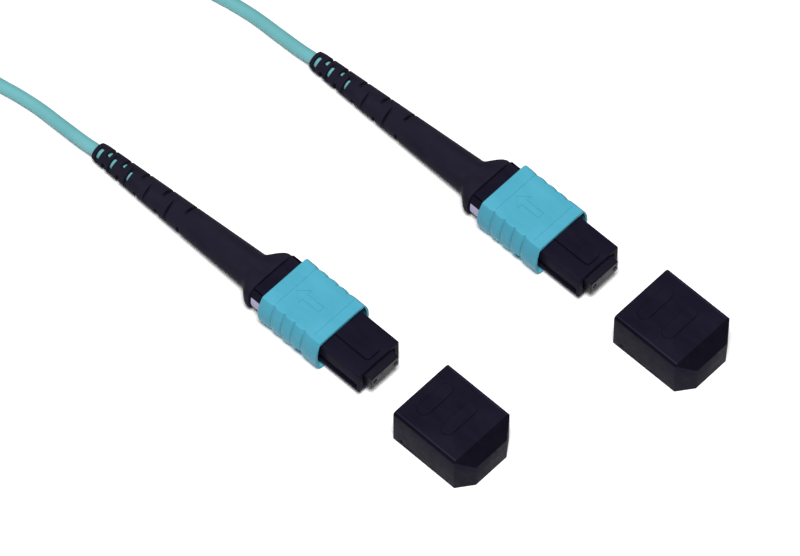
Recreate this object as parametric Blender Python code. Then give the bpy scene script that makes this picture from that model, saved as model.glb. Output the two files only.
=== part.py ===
"""Fibre optic patch cord: one round cable with a twelve-fibre push-on connector on each end.

Lengths are in millimetres and are turned into metres where a vertex is made. Each connector
is drawn in its own frame: +X runs forward along the connector's axis from the back edge of
its coupling sleeve, +Y is left and +Z is up. An empty places that frame in the part, so
every sliding piece has its parent's origin on the axis along which it slides.
"""
import math

import bpy
import bmesh
from mathutils import Vector

MM = 0.001

# Coupling sleeve: the outer grip that is pulled back to release the connector.
SLEEVE_LENGTH = 12.85
SLEEVE_HALF_HEIGHT = 3.75
SLEEVE_FLAT = 5.0            # half width of the flat top
SLEEVE_SIDE = 6.2            # half width at the bulge of the sides
SLEEVE_CAVITY_FLAT = 5.15
SLEEVE_CAVITY_SIDE = 5.65
SLEEVE_CAVITY_HALF_HEIGHT = 3.15
SLEEVE_LIP = (10.8, 11.7)     # the inner lip that the return springs push on
SLEEVE_LIP_SIDE = 4.9
GRIP_NOTCHES = (2.6, 4.8, 7.0, 9.2)
GRIP_NOTCH_DEPTH = 0.28
GRIP_NOTCH_HALF_LENGTH = 0.3

# Front housing: a wide back block inside the sleeve, and the plug that enters an adapter.
HOUSING_BACK = -2.5
HOUSING_STEP = 1.4
HOUSING_FRONT = 20.9
HOUSING_BLOCK_FLAT = 4.5
HOUSING_BLOCK_SIDE = 5.3
HOUSING_BLOCK_HALF_HEIGHT = 2.6
HOUSING_HALF_WIDTH = 4.62
HOUSING_HALF_HEIGHT = 2.42
KEY_HALF_WIDTH = 1.58
KEY_TOP = 3.0
KEY_FRONT = 20.0
CAVITY_HALF = (3.85, 1.85)
MOUTH_HALF = (3.45, 1.5)
SHOULDER = 16.45             # the ferrule's flange rests on this step
LATCH_RECESS_DEPTH = 0.45
LATCH_RECESS = ((8.8, 20.45), (-2.05, -0.15))

# Ferrule group.
FERRULE_BACK = 14.3
FERRULE_FRONT = 22.3
FERRULE_HALF = (3.2, 1.25)
FERRULE_FLANGE_HALF = (3.55, 1.55)
FERRULE_FLANGE_FRONT = 16.3
FERRULE_POCKET_FRONT = 18.0
GUIDE_HOLE_SPACING = 4.6
GUIDE_HOLE_RADIUS = 0.35
KEEPER_BACK = 12.5
KEEPER_FRONT = 14.2
RIBBON_HALF = (1.5, 0.15)

# Back end: spring push, crimp ring and boot.
PUSH_FRONT = 4.4
CRIMP_TAIL_RADIUS = 1.4
CRIMP_TAIL_BACK = -8.6
RIBBON_BACK = -9.0
CRIMP_RING_BACK = -11.2
BOOT_FRONT = -2.7
BOOT_NECK = -6.5
BOOT_TAIL = -41.1
BOOT_NECK_RADIUS = 3.14
BOOT_TAIL_RADIUS = 1.7
BOOT_BORE_RADIUS = 1.2
BOOT_FLANGE_HEIGHT = 3.0
# The flange's stations: place along X, half width and roundness.
BOOT_FLANGE = ((-2.7, 5.25, 4.0), (-3.5, 5.2, 4.0), (-4.0, 4.97, 3.8), (-4.67, 4.4, 3.4),
               (-5.3, 3.8, 2.8), (-5.86, 3.3, 2.2))
BOOT_FLANGE_SHIFT = (-0.25, -0.3)    # the soft boot hangs to the right of the axis and below it
BOOT_NECK_SHIFT = (-0.5, -0.55)
BOOT_TAIL_SHIFT = (-0.85, -1.95)
BORE_STRAIGHT = -11.4        # the bore leaves the axis here
BORE_JOINS = -20.0           # and is in the middle of the tail from here on
SLOT_STATIONS = (1.1, 2.7, 4.1, 6.0, 7.8, 10.1, 12.3, 15.0, 17.2, 20.2)
SLOT_WIDTH = 0.7
SLOTS_OPEN = 9.0             # the slots nearer the tail's end reach the cable

# Dust cap, lying in front of its connector.
CAP_BACK = 30.0
CAP_FRONT = 45.4
CAP_HALF_WIDTH = 6.35
CAP_TOP = 3.95
CAP_EDGE = 0.6               # rounding along both sides of the top
CAP_BEVEL = (2.2, 2.55)      # the sloping front edge, along and down
CAP_CORNER = (2.1, 2.85)     # the front corners, along and across
CAP_CAVITY_DEPTH = 10.5
CAP_RIDGES = (33.1, 38.3)    # middles of the two grip ridges across the top
CAP_RIDGE_HALF = (1.15, 3.7)
CAP_RIDGE_HEIGHT = 0.08

# Cable and its coil.
CABLE_RADIUS = 1.1
COIL_CENTRE = (-98.0, 12.0)
COIL_OUTER_TURN = 16.1
COIL_INNER_TURN = 10.3
COIL_LAYERS = 4
COIL_LIFT = 0.85             # the tie passes under the coil
TIE_WIDTH = 3.0
TIE_THICKNESS = 0.5
GAP = 0.3

FLOOR = -SLEEVE_HALF_HEIGHT
SECOND_END = (13.0, 37.05)   # where the second connector lies, from the first
ENDS = {"a": (0.0, 0.0), "b": SECOND_END}
# The part's origin is under the middle of the box round both connectors and both caps.
ORIGIN = ((BOOT_TAIL + CAP_FRONT + SECOND_END[0]) / 2.0, SECOND_END[1] / 2.0)

AQUA = (0.10, 0.46, 0.62)
JACKET_AQUA = (0.22, 0.55, 0.60)
BLACK = (0.013, 0.012, 0.020)


# ---------------------------------------------------------------- general helpers

def make_material(name, colour, roughness, metallic=0.0):
    material = bpy.data.materials.new(name)
    material.use_nodes = True
    shader = material.node_tree.nodes["Principled BSDF"]
    shader.inputs["Base Color"].default_value = (*colour, 1.0)
    shader.inputs["Roughness"].default_value = roughness
    shader.inputs["Metallic"].default_value = metallic
    return material


def finish_mesh(name, mesh_data, material, parent, smooth=True):
    """Close a bmesh into an object with outward faces."""
    bmesh.ops.recalc_face_normals(mesh_data, faces=mesh_data.faces)
    mesh = bpy.data.meshes.new(name)
    mesh_data.to_mesh(mesh)
    mesh_data.free()
    if smooth:
        mesh.shade_smooth()
        mesh.set_sharp_from_angle(angle=math.radians(35))
    if material:
        mesh.materials.append(material)
    thing = bpy.data.objects.new(name, mesh)
    bpy.context.scene.collection.objects.link(thing)
    thing.parent = parent
    return thing


def add_rings(mesh_data, rings):
    """Make the vertices of each ring and join neighbouring rings with quads."""
    loops = [[mesh_data.verts.new(Vector(point) * MM) for point in ring] for ring in rings]
    for first, second in zip(loops, loops[1:]):
        count = len(first)
        for i in range(count):
            j = (i + 1) % count
            mesh_data.faces.new((first[i], first[j], second[j], second[i]))
    return loops


def add_solid(mesh_data, rings):
    loops = add_rings(mesh_data, rings)
    mesh_data.faces.new(loops[0])
    mesh_data.faces.new(loops[-1])


def solid(name, rings, material, parent):
    mesh_data = bmesh.new()
    add_solid(mesh_data, rings)
    return finish_mesh(name, mesh_data, material, parent)


def tube(name, outer, inner, material, parent):
    """A solid with a way through it: the two skins are joined at both ends."""
    mesh_data = bmesh.new()
    outside = add_rings(mesh_data, outer)
    inside = add_rings(mesh_data, inner)
    for end in (0, -1):
        first, second = outside[end], inside[end]
        count = len(first)
        for i in range(count):
            j = (i + 1) % count
            mesh_data.faces.new((first[i], first[j], second[j], second[i]))
    return finish_mesh(name, mesh_data, material, parent)


def combine(target, operation, helper):
    """Join or cut with a helper, which is only a guide and isn't built."""
    helper.hide_render = True
    helper.display_type = "WIRE"
    modifier = target.modifiers.new(helper.name, "BOOLEAN")
    modifier.operation = operation
    modifier.solver = "EXACT"
    modifier.object = helper


def at(x, outline):
    return [(x, y, z) for y, z in outline]


def rectangle(half_width, half_height, middle=(0.0, 0.0)):
    y, z = middle
    return [(y + half_width, z - half_height), (y + half_width, z + half_height),
            (y - half_width, z + half_height), (y - half_width, z - half_height)]


def circle(radius, steps=16, middle=(0.0, 0.0)):
    return superellipse(radius, radius, 2.0, steps, middle)


def superellipse(half_width, half_height, power, steps=16, middle=(0.0, 0.0)):
    points = []
    for i in range(steps):
        angle = 2.0 * math.pi * (i + 0.5) / steps
        c, s = math.cos(angle), math.sin(angle)
        y = math.copysign(abs(c) ** (2.0 / power), c) * half_width
        z = math.copysign(abs(s) ** (2.0 / power), s) * half_height
        points.append((middle[0] + y, middle[1] + z))
    return points


def barrel(flat, side, half_height, steps=6):
    """Flat above and below, with sides that bulge on an arc."""
    rise = side - flat
    radius = (half_height ** 2 + rise ** 2) / (2.0 * rise)
    reach = math.asin(half_height / radius)
    right = []
    for i in range(steps + 1):
        angle = -reach + 2.0 * reach * i / steps
        right.append((side - radius + radius * math.cos(angle), radius * math.sin(angle)))
    left = [(-y, -z) for y, z in right]
    return right + left


def box_helper(name, x_range, y_range, z_range, parent):
    low, high = zip(x_range, y_range, z_range)
    outline = [(low[1], low[2]), (high[1], low[2]), (high[1], high[2]), (low[1], high[2])]
    return solid(name, [at(low[0], outline), at(high[0], outline)], None, parent)


def sweep(name, path, outward, radius, sides, material, parent):
    """A round wire along a path; outward gives one direction across the wire at each point."""
    rings = []
    for i, point in enumerate(path):
        ahead = path[min(i + 1, len(path) - 1)] - path[max(i - 1, 0)]
        tangent = ahead.normalized()
        across = (outward[i] - tangent * outward[i].dot(tangent)).normalized()
        other = tangent.cross(across)
        rings.append([point + radius * (across * math.cos(angle) + other * math.sin(angle))
                      for angle in (2.0 * math.pi * k / sides for k in range(sides))])
    return solid(name, rings, material, parent)


def coil_spring(name, start, end, middle_y, half, turns, wire, steps, sides, material, parent):
    """A spring along X; half gives its half width and half height at the wire's middle."""
    path, outward = [], []
    total = int(turns * steps)
    for i in range(total + 1):
        share = i / total
        angle = 2.0 * math.pi * turns * share
        across = Vector((0.0, math.cos(angle) * half[0], math.sin(angle) * half[1]))
        x = start + wire + (end - start - 2.0 * wire) * share
        path.append(Vector((x, middle_y, 0.0)) + across)
        outward.append(across)
    return sweep(name, path, outward, wire, sides, material, parent)


# ---------------------------------------------------------------- connector pieces

def boot_shift(x):
    """How far the tail's centreline has moved sideways and down at x."""
    back = (BOOT_NECK - x) / (BOOT_NECK - BOOT_TAIL)
    return tuple(near + (far - near) * back for near, far in zip(BOOT_NECK_SHIFT, BOOT_TAIL_SHIFT))


def bore_shift(x):
    """The bore's centreline: on the axis round the crimp ring, then in the tail's middle."""
    back = min(1.0, max(0.0, (BORE_STRAIGHT - x) / (BORE_STRAIGHT - BORE_JOINS)))
    share = back * back * (3.0 - 2.0 * back)
    return tuple(share * part for part in boot_shift(x))


def bore_stations():
    """Stations along the bore: close together where it bends, none where it is straight."""
    return [BORE_STRAIGHT + (BORE_JOINS - BORE_STRAIGHT) * i / 7.0 for i in range(8)] + [BOOT_TAIL]


def boot_radius(x):
    share = (x - BOOT_TAIL) / (BOOT_NECK - BOOT_TAIL)
    return BOOT_TAIL_RADIUS + (BOOT_NECK_RADIUS - BOOT_TAIL_RADIUS) * share


def make_coupling_sleeve(end, parent, material):
    side_at = [(0.0, SLEEVE_SIDE)]
    for notch in GRIP_NOTCHES:
        for step in (-1, 0, 1):
            depth = GRIP_NOTCH_DEPTH if step == 0 else 0.0
            side_at.append((notch + step * GRIP_NOTCH_HALF_LENGTH, SLEEVE_SIDE - depth))
    side_at.append((SLEEVE_LENGTH, SLEEVE_SIDE))
    outer = [at(x, barrel(SLEEVE_FLAT, side, SLEEVE_HALF_HEIGHT)) for x, side in side_at]
    wide = barrel(SLEEVE_CAVITY_FLAT, SLEEVE_CAVITY_SIDE, SLEEVE_CAVITY_HALF_HEIGHT)
    lip = barrel(SLEEVE_LIP_SIDE - 0.1, SLEEVE_LIP_SIDE, SLEEVE_CAVITY_HALF_HEIGHT)
    lip_back, lip_front = SLEEVE_LIP
    inner = [at(0.0, wide), at(lip_back, wide), at(lip_back, lip), at(lip_front, lip),
             at(lip_front, wide), at(SLEEVE_LENGTH, wide)]
    tube("coupling_sleeve_" + end, outer, inner, material, parent)


def make_sleeve_springs(end, parent, material):
    middle = (HOUSING_HALF_WIDTH + SLEEVE_CAVITY_SIDE) / 2.0
    for side, sign in (("left", 1.0), ("right", -1.0)):
        coil_spring("sleeve_spring_%s_%s" % (side, end), HOUSING_STEP + 0.1,
                    SLEEVE_LIP[0] - 0.1, sign * middle, (0.3, 0.3), 8, 0.1, 7, 4,
                    material, parent)


def make_front_housing(end, parent, material):
    block = barrel(HOUSING_BLOCK_FLAT, HOUSING_BLOCK_SIDE, HOUSING_BLOCK_HALF_HEIGHT)
    housing = solid("front_housing_" + end,
                    [at(HOUSING_BACK, block), at(HOUSING_STEP, block)], material, parent)
    plug = solid("plug_form_" + end,
                 [at(x, superellipse(HOUSING_HALF_WIDTH, HOUSING_HALF_HEIGHT, 14.0, 20))
                  for x in (HOUSING_STEP - 1.0, HOUSING_FRONT)], None, parent)
    combine(housing, "UNION", plug)
    key = box_helper("key_form_" + end, (HOUSING_STEP - 0.5, KEY_FRONT),
                     (-KEY_HALF_WIDTH, KEY_HALF_WIDTH), (1.9, KEY_TOP), parent)
    combine(housing, "UNION", key)
    hollow = [at(HOUSING_BACK - 1.0, rectangle(*CAVITY_HALF)), at(SHOULDER, rectangle(*CAVITY_HALF)),
              at(SHOULDER, rectangle(*MOUTH_HALF)), at(HOUSING_FRONT + 1.0, rectangle(*MOUTH_HALF))]
    combine(housing, "DIFFERENCE", solid("hollow_cut_" + end, hollow, None, parent))
    for side, sign in (("left", 1.0), ("right", -1.0)):
        depth = sorted((sign * (HOUSING_HALF_WIDTH - LATCH_RECESS_DEPTH), sign * 6.0))
        recess = box_helper("recess_cut_%s_%s" % (side, end), LATCH_RECESS[0], depth,
                            LATCH_RECESS[1], parent)
        combine(housing, "DIFFERENCE", recess)
        window = box_helper("window_cut_%s_%s" % (side, end), (2.0, 3.8),
                            sorted((sign * 3.0, sign * 6.0)), (-1.0, 1.0), parent)
        combine(housing, "DIFFERENCE", window)
    mark_seat = box_helper("mark_cut_" + end, (-2.4, -0.2), (-7.0, -4.9), (-1.45, 1.15), parent)
    combine(housing, "DIFFERENCE", mark_seat)


def make_position_mark(end, parent, material):
    """The pale inlay that shows which side holds the first fibre."""
    outline = [(-5.2, -1.35), (-4.95, -1.35), (-4.95, 1.05), (-5.2, 1.05)]
    solid("position_mark_" + end, [at(-2.3, outline), at(-0.3, outline)], material, parent)


def make_ferrule(end, parent, material):
    flange, body = rectangle(*FERRULE_FLANGE_HALF), rectangle(*FERRULE_HALF)
    ferrule = solid("mt_ferrule_" + end,
                    [at(FERRULE_BACK, flange), at(FERRULE_FLANGE_FRONT, flange),
                     at(FERRULE_FLANGE_FRONT, body), at(FERRULE_FRONT, body)], material, parent)
    pocket = box_helper("pocket_cut_" + end, (FERRULE_BACK - 1.0, FERRULE_POCKET_FRONT),
                        (-1.89, 1.89), (-0.75, 0.75), parent)
    combine(ferrule, "DIFFERENCE", pocket)
    for side, sign in (("left", 1.0), ("right", -1.0)):
        outline = circle(GUIDE_HOLE_RADIUS, 8, (sign * GUIDE_HOLE_SPACING / 2.0, 0.0))
        hole = solid("guide_cut_%s_%s" % (side, end),
                     [at(FERRULE_BACK - 1.0, outline), at(FERRULE_FRONT + 1.0, outline)],
                     None, parent)
        combine(ferrule, "DIFFERENCE", hole)


def make_ferrule_boot(end, parent, material):
    lip, sleeve = rectangle(2.1, 0.9), rectangle(1.84, 0.7)
    slit = rectangle(RIBBON_HALF[0] + 0.05, RIBBON_HALF[1] + 0.05)
    tube("ferrule_boot_" + end,
         [at(13.2, lip), at(14.2, lip), at(14.2, sleeve), at(17.6, sleeve)],
         [at(13.2, slit), at(17.6, slit)], material, parent)


def make_pin_keeper(end, parent, material):
    tube("pin_keeper_" + end,
         [at(x, rectangle(3.5, 1.5)) for x in (KEEPER_BACK, KEEPER_FRONT)],
         [at(x, rectangle(2.2, 1.0)) for x in (KEEPER_BACK, KEEPER_FRONT)], material, parent)


def make_ferrule_spring(end, parent, material):
    coil_spring("ferrule_spring_" + end, PUSH_FRONT + 0.1, KEEPER_BACK - 0.1, 0.0, (3.25, 1.3),
                5, 0.2, 14, 5, material, parent)


def make_fiber_ribbon(end, parent, material):
    """Flat in the ferrule, then gathered into a bundle for the round cable."""
    solid("fiber_ribbon_" + end,
          [at(17.9, rectangle(*RIBBON_HALF)), at(4.0, rectangle(*RIBBON_HALF)),
           at(-3.5, rectangle(0.7, 0.3)), at(RIBBON_BACK, rectangle(0.7, 0.3))], material, parent)


def make_spring_push(end, parent, material):
    block, flange = rectangle(3.6, 1.6), superellipse(4.0, 1.95, 4.0, 20)
    tail = circle(CRIMP_TAIL_RADIUS, 12)
    push = solid("spring_push_" + end, [at(-3.6, block), at(PUSH_FRONT, block)], material, parent)
    plate = solid("push_plate_form_" + end, [at(-3.6, flange), at(-2.8, flange)], None, parent)
    combine(push, "UNION", plate)
    stem = solid("push_tail_form_" + end, [at(CRIMP_TAIL_BACK, tail), at(-3.0, tail)], None, parent)
    combine(push, "UNION", stem)
    latch_low, latch_high = 2.15, 3.65
    latches = solid("push_latch_form_" + end,
                    [at(latch_low, rectangle(4.35, 0.85)), at(latch_high, rectangle(4.0, 0.85))],
                    None, parent)
    combine(push, "UNION", latches)
    narrow, wide = circle(1.05, 12), superellipse(2.2, 0.9, 6.0, 12)
    way = [at(CRIMP_TAIL_BACK - 1.0, narrow), at(-3.5, narrow),
           at(-1.0, wide), at(PUSH_FRONT + 1.0, wide)]
    combine(push, "DIFFERENCE", solid("push_way_cut_" + end, way, None, parent))


def make_crimp_ring(end, parent, material):
    wide, narrow = (1.8, 1.5), (1.5, 1.22)
    xs = (-4.0, -8.7, -8.9, CRIMP_RING_BACK)
    radii = (wide, wide, narrow, narrow)
    tube("crimp_ring_" + end,
         [at(x, circle(pair[0], 14)) for x, pair in zip(xs, radii)],
         [at(x, circle(pair[1], 14)) for x, pair in zip(xs, radii)], material, parent)


def make_boot(end, parent, material):
    """A fan-shaped flange that closes the housing, on a tapered tail with cross slots."""
    steps = 20
    outer = [at(x, superellipse(wide, BOOT_FLANGE_HEIGHT, power, steps, BOOT_FLANGE_SHIFT))
             for x, wide, power in BOOT_FLANGE]
    stations = 8
    for i in range(stations + 1):
        x = BOOT_NECK + (BOOT_TAIL - BOOT_NECK) * i / stations
        outer.append(at(x, circle(boot_radius(x), steps, boot_shift(x))))
    recess = superellipse(4.2, 2.2, 4.0, steps)
    inner = [at(BOOT_FRONT, recess), at(-3.75, recess), at(-3.75, circle(1.95, steps)),
             at(-9.1, circle(1.95, steps)), at(-9.3, circle(1.62, steps)),
             at(BORE_STRAIGHT, circle(1.62, steps))]
    inner += [at(x, circle(BOOT_BORE_RADIUS, steps, bore_shift(x))) for x in bore_stations()]
    boot = tube("strain_relief_boot_" + end, outer, inner, material, parent)
    slots = bmesh.new()
    for index, station in enumerate(SLOT_STATIONS):
        x = BOOT_TAIL + station
        shift_y, shift_z = boot_shift(x)
        radius = boot_radius(x)
        tilt = math.radians(45.0 if index % 2 == 0 else -45.0)
        for turn in (tilt, tilt + math.pi):
            low = 0.38 * radius if station < SLOTS_OPEN else BOOT_BORE_RADIUS + 0.1
            high_edge, half = radius + 1.0, radius + 0.5
            corners = [(-half, low), (half, low), (half, high_edge), (-half, high_edge)]
            spun = [(shift_y + y * math.cos(turn) - z * math.sin(turn),
                     shift_z + y * math.sin(turn) + z * math.cos(turn)) for y, z in corners]
            add_solid(slots, [at(x - SLOT_WIDTH / 2.0, spun), at(x + SLOT_WIDTH / 2.0, spun)])
    combine(boot, "DIFFERENCE", finish_mesh("slot_cut_" + end, slots, None, parent))


def make_cable_entry(end, parent, material):
    """The end of the cable's jacket, inside the crimp ring and the boot."""
    xs = [RIBBON_BACK - 0.2] + bore_stations()[:-1] + [BOOT_TAIL + 1.0]
    solid("cable_entry_" + end, [at(x, circle(CABLE_RADIUS, 8, bore_shift(x))) for x in xs],
          material, parent)


def make_dust_cap(end, parent, material):
    """An open-backed box with a bevelled front, cut front corners and two grip ridges."""
    side, front, top = CAP_HALF_WIDTH, CAP_FRONT, CAP_TOP
    right = [(-side, FLOOR)]
    for i in range(4):
        angle = math.pi / 6.0 * i
        right.append((-side + CAP_EDGE * (1.0 - math.cos(angle)),
                      top - CAP_EDGE * (1.0 - math.sin(angle))))
    outline = right + [(-y, z) for y, z in reversed(right)]
    cap = solid("dust_cap_" + end, [at(CAP_BACK, outline), at(front, outline)], material, parent)
    along, down = CAP_BEVEL
    slope = [(front - 1.5 * along, top + 0.5 * down), (front + 0.5 * along, top - 1.5 * down),
             (front + 3.0, top - 1.5 * down), (front + 3.0, top + 0.5 * down)]
    bevel = solid("cap_bevel_cut_" + end, [[(x, y, z) for x, z in slope] for y in (-8.0, 8.0)],
                  None, parent)
    combine(cap, "DIFFERENCE", bevel)
    along, across = CAP_CORNER
    for word, sign in (("left", 1.0), ("right", -1.0)):
        wedge = [(front - 1.5 * along, side + 0.5 * across), (front + 0.5 * along, side - 1.5 * across),
                 (front + 3.0, side - 1.5 * across), (front + 3.0, side + 0.5 * across)]
        corner = solid("cap_corner_cut_%s_%s" % (word, end),
                       [[(x, sign * y, z) for x, y in wedge] for z in (-6.0, 6.0)], None, parent)
        combine(cap, "DIFFERENCE", corner)
    half_x, half_y = CAP_RIDGE_HALF
    for number, middle in enumerate(CAP_RIDGES, start=1):
        outline = []
        for i in range(10):
            angle = math.pi * (i % 5) / 4.0 + (math.pi if i >= 5 else 0.0)
            lift = math.copysign(half_y - half_x, 1.0 if i < 5 else -1.0)
            outline.append((middle + half_x * math.cos(angle), lift + half_x * math.sin(angle)))
        ridge = bmesh.new()
        add_solid(ridge, [[(x, y, z) for x, y in outline]
                          for z in (CAP_TOP - 0.3, CAP_TOP + CAP_RIDGE_HEIGHT)])
        form = finish_mesh("cap_ridge_form_%d_%s" % (number, end), ridge, None, parent)
        combine(cap, "UNION", form)
    hollow = box_helper("cap_hollow_cut_" + end, (CAP_BACK - 1.0, CAP_BACK + CAP_CAVITY_DEPTH),
                        (-4.85, 4.85), (-2.65, 3.2), parent)
    combine(cap, "DIFFERENCE", hollow)


# ---------------------------------------------------------------- cable and coil

def smooth_points(route, spacing):
    """Evenly spaced points on a smooth curve through the route's points."""
    ends = [route[0] * 2.0 - route[1]] + route + [route[-1] * 2.0 - route[-2]]
    dense = []
    for before, first, second, after in zip(ends, ends[1:], ends[2:], ends[3:]):
        for i in range(20):
            t = i / 20.0
            dense.append(0.5 * (2.0 * first + (second - before) * t
                                + (2.0 * before - 5.0 * first + 4.0 * second - after) * t * t
                                + (3.0 * first - before - 3.0 * second + after) * t * t * t))
    dense.append(route[-1])
    total = sum((b - a).length for a, b in zip(dense, dense[1:]))
    count = max(2, round(total / spacing))
    points, walked, target = [dense[0]], 0.0, total / count
    for a, b in zip(dense, dense[1:]):
        step = (b - a).length
        while walked + step >= target and len(points) < count:
            points.append(a.lerp(b, (target - walked) / step))
            target += total / count
        walked += step
    return points + [dense[-1]]


def make_lead(name, route, material):
    curve = bpy.data.curves.new(name, "CURVE")
    curve.dimensions = "3D"
    curve.bevel_depth = CABLE_RADIUS * MM
    curve.bevel_resolution = 2
    curve.use_fill_caps = True
    points = smooth_points([Vector(p) for p in route], 5.0 * CABLE_RADIUS)
    spline = curve.splines.new("POLY")
    spline.points.add(len(points) - 1)
    for target, point in zip(spline.points, points):
        target.co = (*(in_part(point)), 1.0)
    curve.materials.append(material)
    bpy.context.scene.collection.objects.link(bpy.data.objects.new(name, curve))


def in_part(point):
    """A point of the first connector's frame, in the part's frame and in metres."""
    return Vector((point[0] - ORIGIN[0], point[1] - ORIGIN[1], point[2] - FLOOR)) * MM


LYING = FLOOR + CABLE_RADIUS + 0.03
TAIL_Y, TAIL_Z = boot_shift(BOOT_TAIL)
# The first stretch behind each boot, in that connector's frame.
FREE_START = [(BOOT_TAIL + 0.7, TAIL_Y, TAIL_Z + 0.03), (-44.0, -1.2, -2.0), (-49.0, -1.28, -2.3),
              (-54.2, -1.35, -2.6), (-58.5, -1.85, LYING), (-61.5, -2.4, LYING)]
# From there to the coil, in the first connector's frame.
LEAD_A_END = [(-68.0, -3.4, LYING), (-76.0, -4.1, LYING + 0.2), (-84.0, -4.3, LYING + 0.7),
              (-89.2, -4.15, LYING + COIL_LIFT)]
LEAD_B_END = [(-56.0, 33.2, LYING), (-63.0, 31.7, LYING + 0.1), (-70.0, 30.2, -1.9),
              (-77.0, 29.0, 0.4), (-84.0, 28.3, 3.3), (-89.2, 28.1, 4.5)]


def make_cable(material):
    second = [(x + SECOND_END[0], y + SECOND_END[1], z) for x, y, z in FREE_START]
    make_lead("cable_lead_a", FREE_START + LEAD_A_END, material)
    make_lead("cable_lead_b", second + LEAD_B_END, material)


def make_coil(material):
    """The outer shape of all the turns, as one turned ring."""
    inside = COIL_INNER_TURN - CABLE_RADIUS
    outside = COIL_OUTER_TURN + CABLE_RADIUS
    bottom = FLOOR + COIL_LIFT
    top = bottom + 2.0 * CABLE_RADIUS * COIL_LAYERS
    cut = 0.7
    profile = [(inside, bottom + cut), (inside + cut, bottom), (outside - cut, bottom),
               (outside, bottom + cut), (outside, top - cut), (outside - cut, top),
               (inside + cut, top), (inside, top - cut)]
    mesh_data = bmesh.new()
    steps = 40
    loops = []
    for i in range(steps):
        angle = 2.0 * math.pi * i / steps
        loops.append([mesh_data.verts.new(in_part((COIL_CENTRE[0] + r * math.cos(angle),
                                                   COIL_CENTRE[1] + r * math.sin(angle), z)))
                      for r, z in profile])
    for i in range(steps):
        first, second = loops[i], loops[(i + 1) % steps]
        for j in range(len(profile)):
            k = (j + 1) % len(profile)
            mesh_data.faces.new((first[j], first[k], second[k], second[j]))
    finish_mesh("cable_coil", mesh_data, material, None)


def make_coil_tie(material):
    """A strap round the bundle, on the side of the coil away from the connectors."""
    inside = COIL_INNER_TURN - CABLE_RADIUS - GAP
    outside = COIL_OUTER_TURN + CABLE_RADIUS + GAP
    bottom = FLOOR + COIL_LIFT - GAP
    top = bottom + 2.0 * CABLE_RADIUS * COIL_LAYERS + 2.0 * GAP

    def strap_ring(y, spread):
        corners = [(outside + spread, bottom - spread), (outside + spread, top + spread),
                   (inside - spread, top + spread), (inside - spread, bottom - spread)]
        return [in_part((COIL_CENTRE[0] - r, COIL_CENTRE[1] + y, z)) / MM for r, z in corners]

    half = TIE_WIDTH / 2.0
    tube("coil_tie", [strap_ring(y, TIE_THICKNESS) for y in (-half, half)],
         [strap_ring(y, 0.0) for y in (-half, half)], material, None)


# ---------------------------------------------------------------- build

def build():
    for thing in list(bpy.data.objects):
        bpy.data.objects.remove(thing, do_unlink=True)
    sleeve_plastic = make_material("sleeve_plastic", AQUA, 0.45)
    housing_plastic = make_material("housing_plastic", BLACK, 0.4)
    boot_rubber = make_material("boot_rubber", BLACK, 0.6)
    cap_plastic = make_material("cap_plastic", BLACK, 0.45)
    ferrule_plastic = make_material("ferrule_plastic", (0.06, 0.055, 0.07), 0.35)
    inner_rubber = make_material("inner_rubber", (0.02, 0.02, 0.02), 0.7)
    inner_plastic = make_material("inner_plastic", (0.03, 0.03, 0.035), 0.5)
    spring_steel = make_material("spring_steel", (0.55, 0.55, 0.56), 0.3, 1.0)
    crimp_metal = make_material("crimp_metal", (0.62, 0.60, 0.55), 0.35, 1.0)
    fiber_glass = make_material("fiber_coating", (0.35, 0.55, 0.6), 0.4)
    mark_paint = make_material("mark_paint", (0.55, 0.54, 0.62), 0.6)
    jacket = make_material("cable_jacket", JACKET_AQUA, 0.5)
    tie_fabric = make_material("tie_fabric", (0.03, 0.03, 0.03), 0.9)
    for end, (x, y) in ENDS.items():
        frame = bpy.data.objects.new("connector_frame_" + end, None)
        bpy.context.scene.collection.objects.link(frame)
        frame.location = in_part((x, y, 0.0))
        make_coupling_sleeve(end, frame, sleeve_plastic)
        make_sleeve_springs(end, frame, spring_steel)
        make_front_housing(end, frame, housing_plastic)
        make_position_mark(end, frame, mark_paint)
        make_ferrule(end, frame, ferrule_plastic)
        make_ferrule_boot(end, frame, inner_rubber)
        make_pin_keeper(end, frame, inner_plastic)
        make_ferrule_spring(end, frame, spring_steel)
        make_fiber_ribbon(end, frame, fiber_glass)
        make_spring_push(end, frame, inner_plastic)
        make_crimp_ring(end, frame, crimp_metal)
        make_boot(end, frame, boot_rubber)
        make_cable_entry(end, frame, jacket)
        make_dust_cap(end, frame, cap_plastic)
    make_cable(jacket)
    make_coil(jacket)
    make_coil_tie(tie_fabric)


build()
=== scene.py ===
"""Fibre optic patch cord: the finished look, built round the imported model.

Connector pieces are drawn in millimetres in their connector's own frame: +X forward from the
back edge of the coupling sleeve, +Y left, +Z up, with the axis at y = z = 0.
"""
import math

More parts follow.
